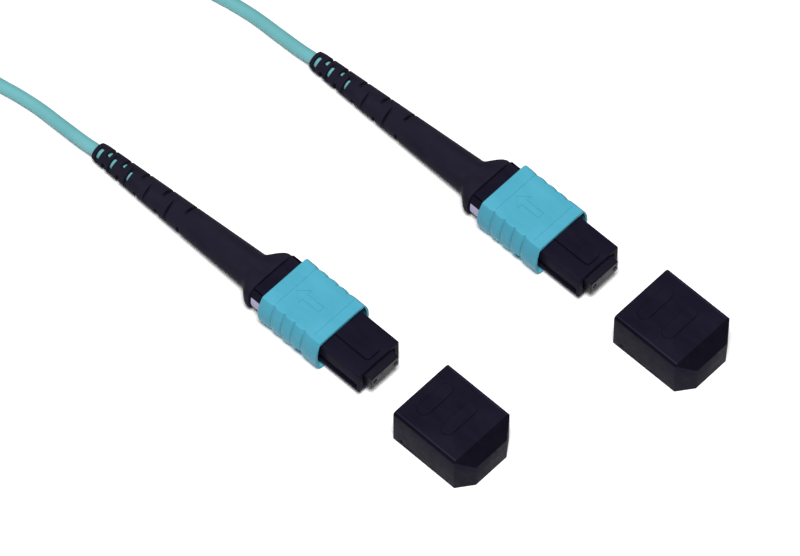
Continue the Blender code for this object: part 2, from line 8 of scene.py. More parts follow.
import bmesh
import bpy
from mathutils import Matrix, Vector


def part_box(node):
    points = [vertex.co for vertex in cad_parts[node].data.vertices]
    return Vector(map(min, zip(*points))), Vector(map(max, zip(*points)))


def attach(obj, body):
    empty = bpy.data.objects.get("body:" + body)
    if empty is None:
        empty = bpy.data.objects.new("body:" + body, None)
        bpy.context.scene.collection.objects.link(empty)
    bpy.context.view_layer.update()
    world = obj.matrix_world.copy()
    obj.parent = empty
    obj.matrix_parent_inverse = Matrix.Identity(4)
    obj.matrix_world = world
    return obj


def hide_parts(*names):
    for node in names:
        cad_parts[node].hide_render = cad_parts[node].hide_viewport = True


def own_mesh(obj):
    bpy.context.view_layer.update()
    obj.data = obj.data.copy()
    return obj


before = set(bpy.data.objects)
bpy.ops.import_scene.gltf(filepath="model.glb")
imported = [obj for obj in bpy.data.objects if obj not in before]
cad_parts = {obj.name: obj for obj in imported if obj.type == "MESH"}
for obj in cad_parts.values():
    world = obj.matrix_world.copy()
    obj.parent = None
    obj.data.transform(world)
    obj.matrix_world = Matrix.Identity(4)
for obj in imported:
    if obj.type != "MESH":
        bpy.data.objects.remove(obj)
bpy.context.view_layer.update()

MM = 0.001
ENDS = ("a", "b")
# What a joint presses shorter: the node, its joint, how far in millimetres, and the finish.
PRESSED_NODES = (("sleeve_spring_left", "sleeve_slide_", 2.0, "spring_steel"),
                 ("sleeve_spring_right", "sleeve_slide_", 2.0, "spring_steel"),
                 ("ferrule_spring", "ferrule_float_", 0.8, "spring_steel"),
                 ("fiber_ribbon", "ferrule_float_", 0.8, "fiber_coating"))


def connector_origin(end):
    """Where a connector's own frame lies: on the axis, at the back edge of its sleeve."""
    low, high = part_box("coupling_sleeve_" + end)
    return Vector((low.x, (low.y + high.y) / 2.0, (low.z + high.z) / 2.0))


ORIGIN = {end: connector_origin(end) for end in ENDS}


def in_row(point, end="a"):
    """A point in millimetres of a connector's frame, in metres of the row frame."""
    return ORIGIN[end] + Vector(point) * MM


# ---------------------------------------------------------------- camera

VIEW_ELEVATION = math.radians(57.7)
VIEW_AZIMUTH = math.radians(43.7)      # turned from looking along +Y towards -X
CAMERA_DISTANCE = 1.2
FRAME_WIDTH = 0.1271                   # what the frame's width covers at the first connector
SENSOR_WIDTH = 36.0
AIM = (13.7, 12.35, 4.42)              # the point at the picture's middle


def make_camera():
    data = bpy.data.cameras.new("camera")
    data.type = "PERSP"
    data.sensor_width = SENSOR_WIDTH
    data.lens = SENSOR_WIDTH * CAMERA_DISTANCE / FRAME_WIDTH
    data.clip_start, data.clip_end = 0.01, 20.0
    camera = bpy.data.objects.new("camera", data)
    bpy.context.scene.collection.objects.link(camera)
    ahead = Vector((-math.sin(VIEW_AZIMUTH) * math.cos(VIEW_ELEVATION),
                    math.cos(VIEW_AZIMUTH) * math.cos(VIEW_ELEVATION), -math.sin(VIEW_ELEVATION)))
    camera.location = in_row(AIM) - ahead * CAMERA_DISTANCE
    camera.rotation_euler = ahead.to_track_quat("-Z", "Y").to_euler()
    bpy.context.scene.camera = camera


make_camera()

# ---------------------------------------------------------------- cord route

CABLE_RADIUS = 1.1
FLOOR = -3.75
BOOT_NECK, BOOT_TAIL = -6.5, -41.1
BOOT_NECK_SHIFT, BOOT_TAIL_SHIFT = (-0.5, -0.55), (-0.85, -1.95)
SECOND_END = (13.0, 37.05)
COIL_CENTRE = (-98.0, 12.0)
COIL_OUTER_TURN, COIL_INNER_TURN = 16.1, 10.3
COIL_LAYERS = 4
COIL_CLIMB = 0.14                      # the last share of a layer, where the cable climbs
COIL_TURNS = 10.5
COIL_LIFT = 0.85
POINT_SPACING = 1.6
STEPS_PER_TURN = 24


def boot_shift(x):
    """How far the tail's centreline has moved sideways and down at x."""
    back = (BOOT_NECK - x) / (BOOT_NECK - BOOT_TAIL)
    return tuple(near + (far - near) * back for near, far in zip(BOOT_NECK_SHIFT, BOOT_TAIL_SHIFT))


LYING = FLOOR + CABLE_RADIUS + 0.03
TAIL_Y, TAIL_Z = boot_shift(BOOT_TAIL)
FREE_START = [(BOOT_TAIL + 0.7, TAIL_Y, TAIL_Z + 0.03), (-44.0, -1.2, -2.0), (-49.0, -1.28, -2.3),
              (-54.2, -1.35, -2.6), (-58.5, -1.85, LYING), (-61.5, -2.4, LYING)]
LEAD_A_END = [(-68.0, -3.4, LYING), (-76.0, -4.1, LYING + 0.2), (-84.0, -4.3, LYING + 0.7),
              (-89.2, -4.15, LYING + COIL_LIFT)]
LEAD_B_END = [(-56.0, 33.2, LYING), (-63.0, 31.7, LYING + 0.1), (-70.0, 30.2, -1.9),
              (-77.0, 29.0, 0.4), (-84.0, 28.3, 3.3), (-89.2, 28.1, 4.5)]


def smooth_path(route, spacing):
    """Evenly spaced points on a smooth curve through the route's points."""
    route = [Vector(point) for point in route]
    ends = [route[0] * 2.0 - route[1]] + route + [route[-1] * 2.0 - route[-2]]
    dense = []
    for before, first, second, after in zip(ends, ends[1:], ends[2:], ends[3:]):
        for i in range(20):
            t = i / 20.0
            dense.append(0.5 * (2.0 * first + (second - before) * t
                                + (2.0 * before - 5.0 * first + 4.0 * second - after) * t * t
                                + (3.0 * first - before - 3.0 * second + after) * t * t * t))
    dense.append(route[-1])
    total = sum((b - a).length for a, b in zip(dense, dense[1:]))
    count = max(2, round(total / spacing))
    points, walked, target = [dense[0]], 0.0, total / count
    for a, b in zip(dense, dense[1:]):
        step = (b - a).length
        while walked + step >= target and len(points) < count:
            points.append(a.lerp(b, (target - walked) / step))
            target += total / count
        walked += step
    return points + [dense[-1]]


def coil_path():
    """Turns laid side by side from the outside in, then back out a layer higher, and so on."""
    per_layer = COIL_TURNS / COIL_LAYERS
    bottom = FLOOR + COIL_LIFT + CABLE_RADIUS
    points = []
    total = int(COIL_TURNS * STEPS_PER_TURN)
    for i in range(total + 1):
        turn = i / STEPS_PER_TURN
        layer = min(COIL_LAYERS - 1, int(turn / per_layer))
        share = turn / per_layer - layer
        inward = share if layer % 2 == 0 else 1.0 - share
        radius = COIL_OUTER_TURN + (COIL_INNER_TURN - COIL_OUTER_TURN) * inward
        climb = 0.0
        if layer < COIL_LAYERS - 1:
            climb = max(0.0, (share - (1.0 - COIL_CLIMB)) / COIL_CLIMB)
        height = bottom + 2.0 * CABLE_RADIUS * (layer + climb * climb * (3.0 - 2.0 * climb))
        angle = -math.pi / 2.0 - 2.0 * math.pi * turn
        points.append(Vector((COIL_CENTRE[0] + radius * math.cos(angle),
                              COIL_CENTRE[1] + radius * math.sin(angle), height)))
    return points


def make_cord():
    """The whole cable as one curve, from one boot through the coil to the other."""
    start = smooth_path(FREE_START + LEAD_A_END, POINT_SPACING)
    second = [(x + SECOND_END[0], y + SECOND_END[1], z) for x, y, z in FREE_START]
    finish = list(reversed(smooth_path(second + LEAD_B_END, POINT_SPACING)))
    points = start + coil_path() + finish
    curve = bpy.data.curves.new("cable", "CURVE")
    curve.dimensions = "3D"
    curve.bevel_depth = CABLE_RADIUS * MM
    curve.bevel_resolution = 8
    curve.use_fill_caps = True
    spline = curve.splines.new("POLY")
    spline.points.add(len(points) - 1)
    for target, point in zip(spline.points, points):
        target.co = (*in_row(point), 1.0)
    spline.use_smooth = True
    cable = bpy.data.objects.new("cable", curve)
    bpy.context.scene.collection.objects.link(cable)
    return cable


# ---------------------------------------------------------------- materials

class Nodes:
    """A short way to write a node material."""

    def __init__(self, name):
        self.material = bpy.data.materials.new(name)
        self.material.use_nodes = True
        self.tree = self.material.node_tree
        self.shader = self.tree.nodes["Principled BSDF"]
        self.place = self.tree.nodes.new("ShaderNodeTexCoord").outputs["Object"]

    def link(self, output, target):
        self.tree.links.new(output, target)

    def noise(self, scale, detail=4.0, roughness=0.55, stretch=None):
        node = self.tree.nodes.new("ShaderNodeTexNoise")
        node.inputs["Scale"].default_value = scale
        node.inputs["Detail"].default_value = detail
        node.inputs["Roughness"].default_value = roughness
        place = self.place
        if stretch:
            mapping = self.tree.nodes.new("ShaderNodeMapping")
            mapping.inputs["Scale"].default_value = stretch
            self.link(place, mapping.inputs["Vector"])
            place = mapping.outputs["Vector"]
        self.link(place, node.inputs["Vector"])
        return node.outputs["Fac"]

    def spread(self, value, low, high, start=0.3, stop=0.7):
        """Map a texture value to a range."""
        node = self.tree.nodes.new("ShaderNodeMapRange")
        node.inputs["From Min"].default_value = start
        node.inputs["From Max"].default_value = stop
        node.inputs["To Min"].default_value = low
        node.inputs["To Max"].default_value = high
        self.link(value, node.inputs["Value"])
        return node.outputs["Result"]

    def colours(self, value, low, high, start=0.3, stop=0.7):
        node = self.tree.nodes.new("ShaderNodeValToRGB")
        node.color_ramp.elements[0].position = start
        node.color_ramp.elements[0].color = (*low, 1.0)
        node.color_ramp.elements[1].position = stop
        node.color_ramp.elements[1].color = (*high, 1.0)
        self.link(value, node.inputs["Fac"])
        return node.outputs["Color"]

    def paint_light_by_slope(self, colour, stops):
        """Paint light and shade into a colour by how far the surface faces up, each stop (how far, scale
        up to 2).
        """
        surface = self.tree.nodes.new("ShaderNodeNewGeometry")
        split = self.tree.nodes.new("ShaderNodeSeparateXYZ")
        self.link(surface.outputs["True Normal"], split.inputs["Vector"])
        ramp = self.tree.nodes.new("ShaderNodeValToRGB")
        elements = ramp.color_ramp.elements
        for position, _ in stops[1:-1]:
            elements.new(position)
        for element, (_, scale) in zip(elements, stops):
            element.color = (scale / 2.0, scale / 2.0, scale / 2.0, 1.0)
        self.link(split.outputs["Z"], ramp.inputs["Fac"])
        scaled = self.tree.nodes.new("ShaderNodeVectorMath")
        scaled.operation = "SCALE"
        self.link(colour, scaled.inputs[0])
        self.link(self.spread(ramp.outputs["Color"], 0.0, 2.0, 0.0, 1.0), scaled.inputs["Scale"])
        return scaled.outputs["Vector"]

    def bump(self, heights):
        """Bumps on top of each other, each (height, strength, distance)."""
        normal = None
        for height, strength, distance in heights:
            node = self.tree.nodes.new("ShaderNodeBump")
            node.inputs["Strength"].default_value = strength
            node.inputs["Distance"].default_value = distance
            self.link(height, node.inputs["Height"])
            if normal:
                self.link(normal, node.inputs["Normal"])
            normal = node.outputs["Normal"]
        self.link(normal, self.shader.inputs["Normal"])


# Painted shade: the sides of the grip are drawn a little darker than its top, as the light falls from
# above.
GRIP_SIDES_PAINTED_SHADE = ((0.0, 0.83), (0.6, 0.86), (0.95, 1.0), (1.0, 1.0))
# Painted shade and highlight: the slopes are drawn darker than the flats, and a painted highlight runs
# pale along the rim of the top.
PAINTED_SLOPE_SHADE_AND_RIM_HIGHLIGHT = ((0.0, 1.0), (0.14, 1.0), (0.24, 0.5), (0.6, 0.5), (0.9, 0.6), (0.94, 1.9),
               (0.996, 1.9), (0.9985, 1.0), (1.0, 1.0))


def moulded_plastic(name, dark, light, roughness, grain, specular=0.3, painted_light_slopes=None):
    """Injection-moulded plastic: a fine spark-eroded grain, faint flow marks and worn sheen, with light
    and shade painted in by slope where asked.
    """
    nodes = Nodes(name)
    flow = nodes.noise(160.0, 3.0, stretch=(1.0, 2.5, 2.5))
    colour = nodes.colours(flow, dark, light)
    # Painted light and shade: where asked, the colour is scaled by how far the surface faces up.
    if painted_light_slopes:
        colour = nodes.paint_light_by_slope(colour, painted_light_slopes)
    nodes.link(colour, nodes.shader.inputs["Base Color"])
    wear = nodes.noise(900.0, 5.0)
    nodes.link(nodes.spread(wear, roughness - 0.06, roughness + 0.07),
               nodes.shader.inputs["Roughness"])
    fine = nodes.noise(9000.0, 2.0)
    nodes.bump([(flow, 0.12, 0.00006), (fine, grain, 0.00002)])
    nodes.shader.inputs["Specular IOR Level"].default_value = specular
    return nodes.material


def metal(name, dark, light, roughness, stretch):
    """Bare metal with a fine surface pattern, which stretch can draw out into tool lines."""
    nodes = Nodes(name)
    lines = nodes.noise(2500.0, 4.0, stretch=stretch)
    nodes.link(nodes.colours(lines, dark, light), nodes.shader.inputs["Base Color"])
    nodes.link(nodes.spread(lines, roughness - 0.08, roughness + 0.1),
               nodes.shader.inputs["Roughness"])
    nodes.bump([(lines, 0.2, 0.00001)])
    nodes.shader.inputs["Metallic"].default_value = 1.0
    return nodes.material


def cable_jacket():
    """A smooth extruded jacket, faintly uneven, with a sheen that varies from handling."""
    nodes = Nodes("cable_jacket")
    cloud = nodes.noise(120.0, 3.0)
    nodes.link(nodes.colours(cloud, (0.115, 0.330, 0.352), (0.135, 0.365, 0.388)),
               nodes.shader.inputs["Base Color"])
    wear = nodes.noise(700.0, 6.0)
    nodes.link(nodes.spread(wear, 0.36, 0.52), nodes.shader.inputs["Roughness"])
    fine = nodes.noise(5000.0, 3.0)
    nodes.bump([(cloud, 0.15, 0.0001), (fine, 0.12, 0.00002)])
    nodes.shader.inputs["Specular IOR Level"].default_value = 0.1
    return nodes.material


def tie_fabric():
    """Woven hook-and-loop tape."""
    nodes = Nodes("tie_fabric")
    weave = nodes.tree.nodes.new("ShaderNodeTexVoronoi")
    weave.inputs["Scale"].default_value = 2500.0
    nodes.link(nodes.place, weave.inputs["Vector"])
    nodes.link(nodes.colours(weave.outputs["Distance"], (0.020, 0.020, 0.022), (0.055, 0.055, 0.06),
                             0.0, 0.5), nodes.shader.inputs["Base Color"])
    nodes.bump([(weave.outputs["Distance"], 0.6, 0.0001)])
    nodes.shader.inputs["Roughness"].default_value = 0.9
    nodes.shader.inputs["Sheen Weight"].default_value = 0.4
    return nodes.material


BLACK_DARK, BLACK_LIGHT = (0.0065, 0.0056, 0.0125), (0.0095, 0.0083, 0.0175)
RUBBER_DARK, RUBBER_LIGHT = (0.0105, 0.0095, 0.0180), (0.0145, 0.0130, 0.0235)
FINISH = {
    # The sleeve's colour carries painted shade on the grip's sides.
    "sleeve_plastic": moulded_plastic(
        "sleeve_plastic", (0.058, 0.292, 0.398), (0.070, 0.322, 0.436),
        roughness=0.42, grain=0.25, specular=0.08, painted_light_slopes=GRIP_SIDES_PAINTED_SHADE),
    "housing_plastic": moulded_plastic(
        "housing_plastic", BLACK_DARK, BLACK_LIGHT, roughness=0.42, grain=0.2, specular=0.01),
    "boot_rubber": moulded_plastic(
        "boot_rubber", RUBBER_DARK, RUBBER_LIGHT, roughness=0.52, grain=0.35, specular=0.012),
    # The cap's colour carries painted shade on its slopes and a painted highlight along its top's rim.
    "cap_plastic": moulded_plastic(
        "cap_plastic", BLACK_DARK, BLACK_LIGHT,
        roughness=0.5, grain=0.3, specular=0.018, painted_light_slopes=PAINTED_SLOPE_SHADE_AND_RIM_HIGHLIGHT),
    "ferrule_plastic": moulded_plastic(
        "ferrule_plastic", (0.0060, 0.0053, 0.0108), (0.0078, 0.0069, 0.0138),
        roughness=0.4, grain=0.05, specular=0.12),
    "inner_rubber": moulded_plastic(
        "inner_rubber", (0.02, 0.02, 0.02), (0.03, 0.03, 0.03), roughness=0.7, grain=0.3),
    "inner_plastic": moulded_plastic(
        "inner_plastic", (0.02, 0.02, 0.023), (0.03, 0.03, 0.034), roughness=0.5, grain=0.3),
    "spring_steel": metal(
        "spring_steel", (0.45, 0.45, 0.46), (0.62, 0.62, 0.63), roughness=0.28, stretch=(1, 1, 1)),
    "crimp_metal": metal(
        "crimp_metal", (0.55, 0.53, 0.48), (0.70, 0.67, 0.60), roughness=0.32, stretch=(0.2, 1, 1)),
    "fiber_coating": moulded_plastic(
        "fiber_coating", (0.25, 0.50, 0.55), (0.30, 0.55, 0.60), roughness=0.35, grain=0.1),
    "mark_paint": moulded_plastic(
        "mark_paint", (0.30, 0.28, 0.43), (0.36, 0.34, 0.50), roughness=0.55, grain=0.2),
    "cable_jacket": cable_jacket(),
    "tie_fabric": tie_fabric(),
}

# ---------------------------------------------------------------- mesh tools


def add_rings(mesh_data, rings, closed_at=()):
    """Vertices for each ring, quads between neighbours, and flat caps at the ends asked for."""
    loops = [[mesh_data.verts.new(Vector(point) * MM) for point in ring] for ring in rings]
    for first, second in zip(loops, loops[1:]):
        count = len(first)
        for i in range(count):
            j = (i + 1) % count
            mesh_data.faces.new((first[i], first[j], second[j], second[i]))
    for end in closed_at:
        mesh_data.faces.new(loops[end])
    return loops


def to_mesh(name, mesh_data, sharp=35.0):
    bmesh.ops.recalc_face_normals(mesh_data, faces=mesh_data.faces)
    mesh = bpy.data.meshes.new(name)
    mesh_data.to_mesh(mesh)
    mesh_data.free()
    mesh.shade_smooth()
    mesh.set_sharp_from_angle(angle=math.radians(sharp))
    return mesh


def solid_mesh(name, rings, sharp=35.0):
    mesh_data = bmesh.new()
    add_rings(mesh_data, rings, (0, -1))
    return to_mesh(name, mesh_data, sharp)


def tube_mesh(name, outer, inner, sharp=35.0):
    """A solid with a way through it; both skins have the same number of points to a ring."""
    mesh_data = bmesh.new()
    outside, inside = add_rings(mesh_data, outer), add_rings(mesh_data, inner)
    for end in (0, -1):
        first, second = outside[end], inside[end]
        for i in range(len(first)):
            j = (i + 1) % len(first)
            mesh_data.faces.new((first[i], first[j], second[j], second[i]))
    return to_mesh(name, mesh_data, sharp)


def merged(name, parts):
    """Several closed meshes as the separate bodies of one."""
    mesh_data = bmesh.new()
    for part in parts:
        mesh_data.from_mesh(part)
    return to_mesh(name, mesh_data)


def carved(name, mesh, steps, round_edges=0.0, sharp=35.0, segments=2):
    """The mesh after joining or cutting with helpers and, if asked, rounding its hard edges."""
    thing = bpy.data.objects.new(name, mesh)
    bpy.context.scene.collection.objects.link(thing)
    helpers = []
    for operation, helper_mesh in steps:
        helper = bpy.data.objects.new(name + "_helper", helper_mesh)
        bpy.context.scene.collection.objects.link(helper)
        helper.hide_render = True
        helpers.append(helper)
        modifier = thing.modifiers.new("shape", "BOOLEAN")
        modifier.operation = operation
        modifier.solver = "EXACT"
        modifier.object = helper
    if round_edges:
        bevel = thing.modifiers.new("edges", "BEVEL")
        bevel.width = round_edges * MM
        bevel.segments = segments
        bevel.limit_method = "ANGLE"
        bevel.angle_limit = math.radians(40.0)
    graph = bpy.context.evaluated_depsgraph_get()
    result = bpy.data.meshes.new_from_object(thing.evaluated_get(graph), depsgraph=graph)
    for extra in [thing] + helpers:
        bpy.data.objects.remove(extra)
    result.shade_smooth()
    result.set_sharp_from_angle(angle=math.radians(sharp))
    return result


def place(name, mesh, end, body, finish, stands_for=()):
    """Put a mesh on a connector as a piece that rides with one of its bodies."""
    piece = bpy.data.objects.new(name + "_" + end, mesh)
    bpy.context.scene.collection.objects.link(piece)
    piece.location = ORIGIN[end]
    if not mesh.materials:
        mesh.materials.append(FINISH[finish])
    bpy.context.view_layer.update()
    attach(piece, body)
    if stands_for:
        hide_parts(*[node + "_" + end for node in stands_for])
    return piece


def at(x, outline):
    return [(x, y, z) for y, z in outline]


def mirrored_outline(quarter):
    """A whole outline from its points between the +Y axis and the +Z axis."""
    top = quarter + [(-y, z) for y, z in reversed(quarter)]
    return top + [(-y, -z) for y, z in top]


def superellipse(half_width, half_height, power, steps=48, middle=(0.0, 0.0)):
    points = []
    for i in range(steps):
        angle = 2.0 * math.pi * (i + 0.5) / steps
        c, s = math.cos(angle), math.sin(angle)
        y = math.copysign(abs(c) ** (2.0 / power), c) * half_width
        z = math.copysign(abs(s) ** (2.0 / power), s) * half_height
        points.append((middle[0] + y, middle[1] + z))
    return points


def circle(radius, steps=48, middle=(0.0, 0.0)):
    return superellipse(radius, radius, 2.0, steps, middle)


def rounded_rectangle(half_width, half_height, radius, steps=4):
    quarter = []
    for i in range(steps + 1):
        angle = math.pi / 2.0 * i / steps
        quarter.append((half_width - radius + radius * math.cos(angle),
                        half_height - radius + radius * math.sin(angle)))
    return mirrored_outline(quarter)


def barrel(flat, side, half_height, corner=0.25, dip=0.0, dip_half=4.4):
    """Flat above and below with sides that bulge; dip lowers the flats between two lines."""
    rise = side - flat
    radius = (half_height ** 2 + rise ** 2) / (2.0 * rise)
    reach = math.asin(half_height / radius)
    trim = corner / radius
    quarter = []
    for i in range(9):
        angle = 0.02 + (reach - trim - 0.02) * i / 8.0
        quarter.append((side - radius + radius * math.cos(angle), radius * math.sin(angle)))
    start, corner_point, stop = quarter[-1], (flat, half_height), (flat - corner, half_height)
    for t in (0.25, 0.5, 0.75, 1.0):
        u = 1.0 - t
        quarter.append(tuple(u * u * a + 2.0 * u * t * b + t * t * c
                             for a, b, c in zip(start, corner_point, stop)))
    quarter += [(dip_half + 0.03, half_height), (dip_half, half_height - dip)]
    for share in (0.75, 0.5, 0.25, 0.02):
        quarter.append((dip_half * share, half_height - dip))
    return mirrored_outline(quarter)


def box_mesh(name, x_range, y_range, z_range):
    (x0, x1), (y0, y1), (z0, z1) = x_range, y_range, z_range
    outline = [(y0, z0), (y1, z0), (y1, z1), (y0, z1)]
    return solid_mesh(name, [at(x0, outline), at(x1, outline)])


def upright_mesh(name, levels):
    """A solid from plan outlines, each (height, [(x, y), ...])."""
    return solid_mesh(name, [[(x, y, z) for x, y in plan] for z, plan in levels])


def rounded_plan(x_range, y_half, radius_back, radius_front, inset=0.0, steps=5):
    """A plan outline symmetric about the axis, with its own radius at the back and the front."""
    x0, x1 = x_range[0] + inset, x_range[1] - inset
    y = y_half - inset
    points = []
    for middle_x, radius, start in ((x1, radius_front, 0.0), (x0, radius_back, 90.0)):
        r = max(0.01, radius - inset)
        sign = -1.0 if middle_x == x1 else 1.0
        for i in range(steps + 1):
            angle = math.radians(start + 90.0 * i / steps)
            points.append((middle_x + sign * r + r * math.cos(angle), y - r + r * math.sin(angle)))
    return points + [(px, -py) for px, py in reversed(points)]


# ---------------------------------------------------------------- coupling sleeve

SLEEVE_LENGTH = 12.85
SLEEVE_FLAT, SLEEVE_SIDE, SLEEVE_HALF_HEIGHT = 5.0, 6.2, 3.75
SLEEVE_EDGE = 0.14                     # rounding at both ends
FLAT_DIP = 0.9                         # how much of a scallop shows at the flats
NOTCH_START, NOTCH_PITCH, NOTCH_COUNT, NOTCH_DEPTH = 2.6, 2.2, 4, 0.38
LINE_AT = (2.6, 11.0)
LINE_HALF_WIDTH = 0.07
LINE_DEPTH = 0.07
SLEEVE_BORE = (5.15, 5.65, 3.15)       # flat, side and half height of the way through
LIP = (10.8, 11.7)                     # the inner lip that the return springs push on
LIP_FLAT, LIP_SIDE = 4.8, 4.9
ARROW = ((4.95, 0.25), (4.95, 1.25), (3.2, -0.35), (4.95, -1.95), (4.95, -0.95), (8.6, -0.95),
         (8.6, 0.25), (4.95, 0.25))
ARROW_LINE = 0.15
VENT = (8.15, 9.05)
VENT_SECTION = ((7.0, -0.3), (7.0, -0.8), (5.0, -3.0), (5.0, -2.5))


def sleeve_side(x):
    """Half width of the sleeve's side: three scallops between four valleys."""
    last = NOTCH_START + NOTCH_PITCH * (NOTCH_COUNT - 1)
    if NOTCH_START <= x <= last:
        share = ((x - NOTCH_START) / NOTCH_PITCH) % 1.0
        return SLEEVE_SIDE - NOTCH_DEPTH * (1.0 - math.sin(math.pi * share) ** 0.5)
    away = NOTCH_START - x if x < NOTCH_START else x - last
    return SLEEVE_SIDE - NOTCH_DEPTH * math.exp(-(away / 0.35) ** 1.2)


def sleeve_stations():
    xs = [0.0, 0.04, 0.12, 0.25, 0.6, 1.2, 1.8]
    last = NOTCH_START + NOTCH_PITCH * (NOTCH_COUNT - 1)
    steps = 12
    for notch in range(NOTCH_COUNT - 1):
        xs += [NOTCH_START + NOTCH_PITCH * (notch + i / steps) for i in range(steps)]
    xs += [2.2, 2.4, last, last + 0.15, last + 0.35, last + 0.7, last + 1.2]
    for line in LINE_AT:
        xs += [line - LINE_HALF_WIDTH - 0.02, line - LINE_HALF_WIDTH, line + LINE_HALF_WIDTH,
               line + LINE_HALF_WIDTH + 0.02]
    xs += [11.6, 12.2, SLEEVE_LENGTH - 0.25, SLEEVE_LENGTH - 0.12, SLEEVE_LENGTH - 0.04,
           SLEEVE_LENGTH]
    return sorted(set(round(x, 4) for x in xs))


def stroke(points, width):
    """A thin upright prism along a line in plan, for engraving."""
    parts = []
    for (ax, ay), (bx, by) in zip(points, points[1:]):
        along = Vector((bx - ax, by - ay)).normalized() * width / 2.0
        across = Vector((-along.y, along.x))
        a, b = Vector((ax, ay)) - along, Vector((bx, by)) + along
        plan = [a - across, b - across, b + across, a + across]
        parts.append(upright_mesh("stroke", [(SLEEVE_HALF_HEIGHT - LINE_DEPTH, plan),
                                             (SLEEVE_HALF_HEIGHT + 0.5, plan)]))
    return parts


def make_sleeve_mesh():
    outer = []
    for x in sleeve_stations():
        edge = min(x, SLEEVE_LENGTH - x)
        inset = SLEEVE_EDGE * (1.0 - min(1.0, edge / SLEEVE_EDGE)) ** 2
        engraved = any(abs(x - line) <= LINE_HALF_WIDTH + 0.001 for line in LINE_AT)
        side = sleeve_side(x)
        flat = SLEEVE_FLAT - FLAT_DIP * (SLEEVE_SIDE - side)
        outer.append(at(x, barrel(flat - inset, side - inset, SLEEVE_HALF_HEIGHT - inset,
                                  dip=LINE_DEPTH if engraved else 0.0)))
    bore = barrel(*SLEEVE_BORE, corner=0.2)
    lip = barrel(LIP_FLAT, LIP_SIDE, SLEEVE_BORE[2], corner=0.1)
    inner = [at(x, bore) for x in (0.0, 4.0, LIP[0])] + [at(x, lip) for x in LIP]
    inner += [at(LIP[1], bore), at(SLEEVE_LENGTH, bore)]
    body = tube_mesh("coupling_sleeve", outer, inner)
    cuts = [("DIFFERENCE", part) for part in stroke(ARROW, ARROW_LINE)]
    for sign in (1.0, -1.0):
        rings = [[(x, sign * y, z) for y, z in VENT_SECTION] for x in VENT]
        cuts.append(("DIFFERENCE", solid_mesh("vent", rings)))
    return carved("coupling_sleeve", body, cuts, sharp=30.0)


# ---------------------------------------------------------------- front housing

HOUSING_FRONT = 20.9
HOUSING_HALF = (4.62, 2.42)
HOUSING_RADIUS = 0.34
BLOCK = (4.5, 5.3, 2.6)                # flat, side and half height of the block at the back
BLOCK_STATIONS = ((-2.5, (4.38, 5.2, 2.48)), (-2.4, BLOCK), (1.3, BLOCK), (1.4, (4.4, 5.2, 2.5)))
ROUNDED_END = ((0.16, 0.0), (0.05, 0.04), (0.0, 0.14))     # how far back, and how far in
KEY, KEY_HALF_WIDTH, KEY_TOP = (0.9, 20.0), 1.58, 3.0
KEY_RADII = (0.1, 0.75)
HOLLOW_STATIONS = ((-3.5, 3.85, 1.85), (16.45, 3.85, 1.85), (16.45, 3.45, 1.5), (20.6, 3.45, 1.5),
                   (20.91, 3.65, 1.7), (22.0, 3.65, 1.7))
HOLLOW_RADIUS = 0.2
RECESS, RECESS_HEIGHT = (8.0, 20.45), (-2.05, -0.15)       # the latch's recess in each side
RECESS_RADIUS, RECESS_FLOOR = 0.55, 4.17
WINDOW, WINDOW_HALF_HEIGHT = (2.0, 3.8), 1.0
MARK_SEAT = ((-2.4, -0.2), (-7.0, -4.9), (-1.45, 1.15))
MARK, MARK_HEIGHT, MARK_BACK = (-2.33, -0.27), (-1.38, 1.08), -4.93
MARK_SUNK = 0.02


def make_plug_mesh():
    half_y, half_z = HOUSING_HALF
    rings = [at(0.5, rounded_rectangle(half_y, half_z, HOUSING_RADIUS))]
    for back, inset in ROUNDED_END:
        outline = rounded_rectangle(half_y - inset, half_z - inset, HOUSING_RADIUS)
        rings.append(at(HOUSING_FRONT - back, outline))
    return solid_mesh("plug", rings)


def make_key_mesh():
    levels = [(1.9, rounded_plan(KEY, KEY_HALF_WIDTH, *KEY_RADII))]
    for down, inset in ROUNDED_END:
        levels.append((KEY_TOP - down, rounded_plan(KEY, KEY_HALF_WIDTH, *KEY_RADII, inset)))
    return upright_mesh("key", levels)


def make_recess_mesh(sign):
    """The latch's recess, with a rounded front end."""
    back, front = RECESS
    low, high = RECESS_HEIGHT
    outline = [(back, high), (back, low)]
    for middle_z, start in ((low + RECESS_RADIUS, -90.0), (high - RECESS_RADIUS, 0.0)):
        for i in range(5):
            angle = math.radians(start + 90.0 * i / 4.0)
            outline.append((front - RECESS_RADIUS + RECESS_RADIUS * math.cos(angle),
                            middle_z + RECESS_RADIUS * math.sin(angle)))
    return solid_mesh("recess", [[(x, sign * y, z) for x, z in outline] for y in (RECESS_FLOOR, 6.0)])


def make_housing_mesh():
    body = solid_mesh("front_housing", [at(x, barrel(*section)) for x, section in BLOCK_STATIONS])
    hollow = [at(x, rounded_rectangle(y, z, HOLLOW_RADIUS)) for x, y, z in HOLLOW_STATIONS]
    steps = [("UNION", make_plug_mesh()), ("UNION", make_key_mesh()),
             ("DIFFERENCE", solid_mesh("hollow", hollow))]
    for sign in (1.0, -1.0):
        steps.append(("DIFFERENCE", make_recess_mesh(sign)))
        window = box_mesh("window", WINDOW, sorted((sign * 3.0, sign * 6.0)),
                          (-WINDOW_HALF_HEIGHT, WINDOW_HALF_HEIGHT))
        steps.append(("DIFFERENCE", window))
    steps.append(("DIFFERENCE", box_mesh("mark_seat", *MARK_SEAT)))
    return carved("front_housing", body, steps)


